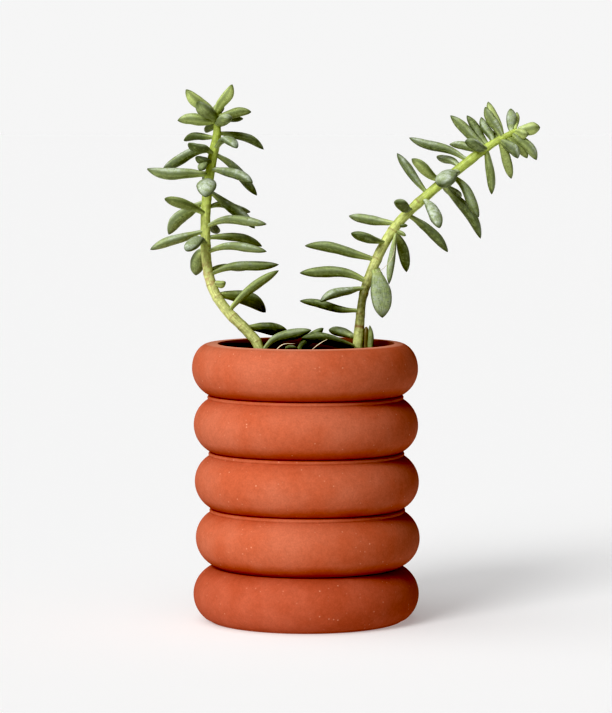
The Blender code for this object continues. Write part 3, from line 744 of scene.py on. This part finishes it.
def grow_leaf(bm, plant, base, tip, thick, blade, arch, tone, number, root):
    """A leaf from base to tip: bowed upwards by arch, flatter above, keeled below.

    Root is how far it reaches back into the stem.
    """
    place, shade, grain = skin_layers(bm, "leaf")
    chord = tip - base
    side = chord.cross(UP).normalized()
    lift = side.cross(chord).normalized()
    middle = base + chord * 0.45 + lift * (arch * 2 * MM)
    length = chord.length
    draw = random.Random(number)
    sway = draw.uniform(-0.8, 0.8) * MM
    wax, youth, dark = TONES[tone]
    dark += draw.uniform(-0.12, 0.12)
    back = -root / length

    def station(share):
        t = back + (1 - back) * (0.55 * share + 0.45 * (1 - math.cos(math.pi * share)) / 2)
        return t, max(t, 0)

    def point(share, angle):
        raw, t = station(share)
        spot = base * (1 - t) ** 2 + middle * (2 * t * (1 - t)) + tip * t ** 2
        ahead = ((middle - base) * (1 - t) + (tip - middle) * t).normalized()
        spot += ahead * (raw - t) * length
        spot += lift * (sway * math.sin(math.tau * t))
        normal = side.cross(ahead).normalized()
        across = math.cos(angle)
        rise = math.sin(angle)
        rise = 0.74 * rise ** 1.15 if rise > 0 else -0.98 * (-rise) ** 1.15
        wide = leaf_outline(t)
        closing = 1.0 if share > 0 else 0.0
        half_w = blade * MM / 2 * wide * closing
        half_t = thick * 1.22 * MM / 2 * wide * closing
        wave = 1 + 0.07 * noise.noise(Vector((t * 5, across * 1.5, number * 3.7)))
        return spot + side * (across * half_w * wave) + normal * (rise * half_t * wave)

    for vert, share, angle in sweep(bm, plant.leaf_sides, plant.leaf_stations, point):
        t = station(share)[1]
        vert[place] = (t, math.cos(angle), math.sin(angle))
        vert[shade] = wax, youth, dark
        vert[grain] = (t * length / MM, angle * blade / 4, number * 7.3)


def grow_leaves(bm, plant, line, rows, first, joined=False):
    """Leaves that grow from a stem at their heights: from its skin, or, if joined, from its middle."""
    for i, (height, tip, thick, blade, arch, tone) in enumerate(rows):
        share = at_height(line, height * MM)
        centre, along = at_share(line, share)
        tip = planted(tip)
        start = (tip + UP * (arch * 2 * MM) - centre).normalized()
        slant = abs(start.dot(along))
        reach = stem_radius(plant, share) + 0.4 * MM
        reach = (reach + max(thick, blade) * 0.2 * MM * slant) / math.sqrt(max(1 - slant ** 2, 0.2))
        reach = 0.3 * MM if joined else reach
        grow_leaf(bm, plant, centre + start * reach, tip, thick, blade, arch, tone, first + i, reach * 0.8)


# ---------------------------------------------------------------- operators


class SUCCULENT_OT_saucer(Operator):
    """Turn the ring saucer, flat below with a well for the pot's foot"""

    bl_idname = "succulent.saucer"
    bl_label = "Turn saucer"

    def execute(self, context):
        ware = context.scene.planter
        section, top = ware.ring_section, ware.saucer_top
        major, centre, well, floor = ware.saucer_reach - section, 15.5 * MM, 45.6 * MM, 8.0 * MM
        edge, rim, cove = 2.4 * MM, 1.2 * MM, 3 * MM
        low = math.degrees(math.asin((2.2 * MM - centre) / section))
        high = math.degrees(math.asin((top - centre) / section))
        profile = [(r * MM, 0) for r in (0, 20, 40, 52, 55)]
        profile += arc(55.5 * MM, edge, edge, edge, -90, -40, 4)
        profile += arc(major, centre, section, section, low, high, 40)
        profile += arc(well + rim, top - rim, rim, rim, 90, 180, 5)
        profile += arc(well - cove, floor + cove, cove, cove, 0, -90, 6)
        profile += [(r * MM, floor) for r in (30, 15, 0)]
        clay = terracotta("terracotta_saucer", ware.saucer_clay, ware.saucer_red, ware.clay_sand)
        bm = turned(profile, ware.turn_steps, False, False)
        finish_piece("saucer_ring", bm, clay, "terracotta_saucer", "saucer")
        return {"FINISHED"}


class SUCCULENT_OT_pot(Operator):
    """Cast the pot: four rings in one wall, with a foot, a drain hole and a rolled lip"""

    bl_idname = "succulent.pot"
    bl_label = "Cast pot"

    def execute(self, context):
        ware = context.scene.planter
        section, pitch, neck = ware.ring_section, ware.ring_pitch, ware.neck
        major = ware.ring_reach - section
        seat, foot_radius, foot_bottom, drain = 32.0 * MM, 43.2 * MM, 23.5 * MM, 6.0 * MM
        floor = foot_bottom + ware.wall
        # The top ring's upper half is flatter: its reach and rise, and the round of the rolled lip
        shoulder, rise, roll = 11.2 * MM, 14.7 * MM, 2.9 * MM
        turn = math.degrees(math.acos((neck - major) / section))
        profile = [(drain, floor), (drain, foot_bottom), (foot_radius - 2 * MM, foot_bottom)]
        profile += [(foot_radius, foot_bottom + 2 * MM), (foot_radius, seat)]
        for ring in range(4):
            z = ware.first_ring + ring * pitch
            low = -turn if ring else math.degrees(math.asin((seat - z) / section))
            if ring < 3:
                profile += arc(major, z, section, section, low, turn, 30)
                profile += [(neck + r * MM, z + pitch / 2 + h * MM) for r, h in BAND]
            else:
                profile += arc(ware.top_reach - section, z, section, section, low, 0, 16)
                profile += arc(ware.top_reach - shoulder, z, shoulder, rise, 6, 78, 14)
        crest, lip = ware.lip_height, ware.opening
        profile += arc(lip + roll, crest - roll, roll, roll, 84, 190, 10)
        profile += [(lip + 0.6 * MM, crest - 5.6 * MM), (lip + 1.8 * MM, crest - 6.8 * MM)]
        inside = section - ware.wall
        for ring in reversed(range(4)):
            z = ware.first_ring + ring * pitch
            profile += arc(major, z, inside, inside, 33 if ring == 3 else 57.8, -60, 12)
        low = foot_radius - ware.wall
        profile += [(47 * MM, 39 * MM), (low + 4 * MM, floor + 5.5 * MM), (low, floor)]
        clay = terracotta("terracotta_pot", ware.clay, ware.clay_red, ware.clay_sand)
        # Paints shade above the bands and inside the mouth, and a highlight along the lip's crest
        paint_pot_shading(clay, ware)
        bm = turned(profile, ware.turn_steps, True, True)
        finish_piece("planter_pot", bm, clay, "terracotta_pot", "pot")
        return {"FINISHED"}


class SUCCULENT_OT_soil(Operator):
    """Fill the pot with potting mix, heaped a little, with crumbs and bark bits on top"""

    bl_idname = "succulent.soil"
    bl_label = "Fill soil"

    def execute(self, context):
        ware = context.scene.planter
        mix = named_material("potting_mix", potting_mix, ware.soil, ware.soil_bark)
        # Only the top 12 mm is modelled, because the wall hides the rest
        bottom, edge, crown, reach = 137 * MM, 149.2 * MM, 151.5 * MM, 52 * MM

        def heap(r):
            """Height of the soil's top at a radius."""
            return edge + (crown - edge) * math.cos(r / reach * math.pi / 2)

        profile = [(0, bottom), (51 * MM, bottom), (53.5 * MM, 142 * MM), (53.5 * MM, edge)]
        profile += [(r * MM, heap(r * MM)) for r in range(50, -1, -2)]
        bm = turned(profile, 96, False, True)
        for vert in bm.verts:
            if vert.co.z > edge - 0.1 * MM and vert.co.xy.length < reach:
                lumps = 1.1 * MM * noise.noise(vert.co / (5 * MM))
                vert.co.z += lumps + 0.5 * MM * noise.noise(vert.co / (1.7 * MM))
        finish_piece("potting_soil", bm, mix, "soil", "soil")

        draw = random.Random(11)
        bm = bmesh.new()
        for _ in range(420):
            r, a = 49 * MM * math.sqrt(draw.random()), draw.uniform(0, math.tau)
            size = draw.uniform(0.5, 1.5) * MM * (1.6 if draw.random() < 0.12 else 1)
            height = heap(r) + size * 0.35
            spin = Euler([draw.uniform(0, math.tau) for _ in range(3)]).to_matrix().to_4x4()
            shape = Matrix.Diagonal((1, draw.uniform(0.5, 1), draw.uniform(0.35, 0.8), 1))
            at = Matrix.Translation((r * math.cos(a) + lean(height), r * math.sin(a), height))
            bmesh.ops.create_icosphere(bm, subdivisions=1, radius=size, matrix=at @ spin @ shape)
        finish_piece("soil_crumbs", bm, mix, "soil", smooth=20)
        return {"FINISHED"}


class SUCCULENT_OT_stems(Operator):
    """Grow the two long stems and the short low one, with their leaf scars"""

    bl_idname = "succulent.stems"
    bl_label = "Grow stems"

    def execute(self, context):
        plant = context.scene.plant
        skin = named_material("stem_skin", stem_skin, plant)

        def even(share):
            return 1.0

        for name, points, heights, tone, slim, nodes in (
            (
                "stem_left", STEM_LEFT, SCARS_LEFT, lambda s: (0.0, 0.5 * peak(s, 0.46, 0.06), 0.0), even,
                ["stem_left"],
            ),
            (
                "stem_right", STEM_RIGHT, SCARS_RIGHT,
                # The right stem turns dull olive about three tenths of the way up
                lambda s: (0.85 * peak(s, 0.29, 0.09), 0.0, 0.9 * peak(s, 0.2, 0.006)),
                lambda s: 1 - 0.2 * peak(s, 0.28, 0.075), ["stem_right"],
            ),
            ("shoot_low", STEM_LOW, (), lambda s: (0.6, 0.0, 0.0), even, ["shoot_low"]),
            ("stem_stub", STEM_STUB, (), lambda s: (1.0, 0.0, 0.35), lambda s: 0.62, []),
        ):
            line = smooth_line(points)
            scars = [
                (at_height(line, height * MM), math.radians(side), math.radians(reach))
                for height, side, reach in heights
            ]
            bm = bmesh.new()
            grow_stem(bm, plant, line, scars, tone, slim)
            finish_piece(name + "_skin", bm, skin, "stem", *nodes)
        return {"FINISHED"}


class SUCCULENT_OT_leaves(Operator):
    """Grow the leaves up both stems, the growing tips and the leaves by the rim"""

    bl_idname = "succulent.leaves"
    bl_label = "Grow leaves"

    def execute(self, context):
        plant = context.scene.plant
        skin = named_material("leaf_skin", leaf_skin, plant)
        left, right, low = smooth_line(STEM_LEFT), smooth_line(STEM_RIGHT), smooth_line(STEM_LOW)
        for name, line, rows, tips, first, slot, node in (
            ("foliage_left", left, LEAVES_LEFT, BUDS_LEFT, 100, "leaf", "leaf_left"),
            ("foliage_right", right, LEAVES_RIGHT, BUDS_RIGHT, 200, "leaf", "leaf_right"),
            ("crown_left_leaves", left, (), CROWN_LEFT, 300, "young_leaf", "crown_left"),
            ("crown_right_leaves", right, (), CROWN_RIGHT, 400, "young_leaf", "crown_right"),
        ):
            bm = bmesh.new()
            grow_leaves(bm, plant, line, rows, first)
            grow_leaves(bm, plant, line, tips, first + 50, joined=True)
            finish_piece(name, bm, skin, slot, *numbered(node, rows))
        bm = bmesh.new()
        grow_leaves(bm, plant, low, LEAVES_SHOOT, 500, joined=True)
        for i, (base, tip, thick, blade, arch, tone) in enumerate(LEAVES_LOW):
            grow_leaf(bm, plant, planted(base), planted(tip), thick, blade, arch, tone, 600 + i, 1.0 * MM)
        finish_piece("foliage_low", bm, skin, "leaf", *numbered("leaf_low", LEAVES_LOW))
        return {"FINISHED"}


class SUCCULENT_OT_litter(Operator):
    """Lay the two dried slivers on the rim and hang the fine aerial root"""

    bl_idname = "succulent.litter"
    bl_label = "Lay litter"

    def execute(self, context):
        plant = context.scene.plant
        straw = named_material("dry_straw", dry_straw, plant)
        for name, strands in (
            ("dried_slivers", ((SLIVER_LONG, 0.6 * MM), (SLIVER_SHORT, 0.55 * MM))),
            ("root_hair", ((ROOT_HAIR, 0.2 * MM),)),
        ):
            bm = bmesh.new()
            for points, radius in strands:
                self.lay_strand(bm, smooth_line(points), radius)
            finish_piece(name, bm, straw, "stem")
        return {"FINISHED"}

    def lay_strand(self, bm, line, radius):
        """A thin tapering strand along a line, a little flat."""
        def point(share, angle):
            centre, ahead = at_share(line, share)
            side = ahead.cross(UP).normalized()
            width = radius * math.sin(math.pi * (0.12 + 0.8 * share)) if 0 < share < 1 else 0
            out = side * (width * math.cos(angle))
            return centre + out + side.cross(ahead) * (width * math.sin(angle) * 0.7)
        sweep(bm, 8, 24, point)


class SUCCULENT_OT_stage(Operator):
    """Lay the pale floor and set the soft light and the camera"""

    bl_idname = "succulent.stage"
    bl_label = "Set stage"

    def execute(self, context):
        stage = context.scene.stage
        material, tree, shader = start_material("pale_paper", stage.paper)
        place = add_node(tree, "TexCoord").outputs["Object"]
        tooth = add_node(tree, "TexNoise", {"Vector": place, "Scale": 1 / (4 * MM)})
        even = add_node(tree, "MapRange", [tooth, 0, 1, 0.998, 1.002])
        lit = [part * (1 - stage.glow) for part in stage.paper]
        colour = add_node(tree, "HueSaturation", {"Color": lit, "Value": even})
        feed(tree, shader, {
            "Base Color": colour, "Roughness": 1.0, "Specular IOR Level": 0.0, "Emission Color": (1, 1, 1),
            "Emission Strength": stage.glow,
        })
        bm = bmesh.new()
        bmesh.ops.create_grid(bm, x_segments=1, y_segments=1, size=FLOOR)
        mesh = bpy.data.meshes.new("floor")
        bm.to_mesh(mesh)
        bm.free()
        mesh.materials.append(material)
        floor = bpy.data.objects.new("floor", mesh)
        context.collection.objects.link(floor)

        for name, power, spread, height, side in (
            ("key_light", stage.key_power, stage.key_spread, stage.key_height, stage.key_side),
            ("top_light", stage.top_power, stage.top_spread, stage.top_height, stage.top_side),
        ):
            light = bpy.data.objects.new(name, bpy.data.lights.new(name, "SUN"))
            light.data.energy = power
            light.data.angle = spread
            light.rotation_euler = (math.pi / 2 - height, 0, -side)
            context.collection.objects.link(light)

        world = bpy.data.worlds.new("surround")
        context.scene.world = world
        world.use_nodes = True
        tree = world.node_tree
        seen = add_node(tree, "LightPath").outputs["Is Camera Ray"]
        fill = [stage.fill_power] * 3
        colour = add_node(tree, "Mix", {0: seen, 6: fill, 7: stage.surround}, data_type="RGBA")
        feed(tree, tree.nodes["Background"], {"Color": colour})

        camera = bpy.data.objects.new("camera", bpy.data.cameras.new("camera"))
        camera.data.lens = stage.lens
        camera.data.sensor_width = 36
        camera.data.clip_end = 200
        camera.location = (-0.0001, -stage.camera_distance, stage.camera_height)
        camera.rotation_euler = (math.pi / 2 - stage.camera_drop, 0, 0)
        context.collection.objects.link(camera)
        context.scene.camera = camera
        view = context.scene.view_settings
        view.view_transform = "Standard"
        view.gamma = stage.gamma
        view.use_curve_mapping = True
        view.curve_mapping.black_level = stage.black
        view.curve_mapping.update()
        return {"FINISHED"}


class SUCCULENT_PT_panel(Panel):
    """Lists the pieces of the potted succulent with their settings"""

    bl_idname = "SUCCULENT_PT_panel"
    bl_label = "Potted Succulent"
    bl_space_type = "VIEW_3D"
    bl_region_type = "UI"
    bl_category = "Succulent"

    def draw(self, context):
        layout = self.layout
        for operator in OPERATORS:
            layout.operator(operator.bl_idname)
        for settings in (context.scene.planter, context.scene.plant, context.scene.stage):
            box = layout.box()
            for name in settings.__annotations__:
                box.prop(settings, name)


SETTINGS = (PlanterSettings, PlantSettings, StageSettings)
OPERATORS = (
    SUCCULENT_OT_stage, SUCCULENT_OT_saucer, SUCCULENT_OT_pot, SUCCULENT_OT_soil, SUCCULENT_OT_stems,
    SUCCULENT_OT_leaves, SUCCULENT_OT_litter,
)


def register():
    for made in (*SETTINGS, *OPERATORS, SUCCULENT_PT_panel):
        bpy.utils.register_class(made)
    bpy.types.Scene.planter = PointerProperty(type=PlanterSettings)
    bpy.types.Scene.plant = PointerProperty(type=PlantSettings)
    bpy.types.Scene.stage = PointerProperty(type=StageSettings)


def unregister():
    for name in ("planter", "plant", "stage"):
        delattr(bpy.types.Scene, name)
    for made in (SUCCULENT_PT_panel, *OPERATORS, *SETTINGS):
        bpy.utils.unregister_class(made)


def main():
    register()
    bpy.ops.succulent.stage()
    bpy.ops.succulent.saucer()
    bpy.ops.succulent.pot()
    bpy.ops.succulent.soil()
    bpy.ops.succulent.stems()
    bpy.ops.succulent.leaves()
    bpy.ops.succulent.litter()


if __name__ == "__main__":
    main()
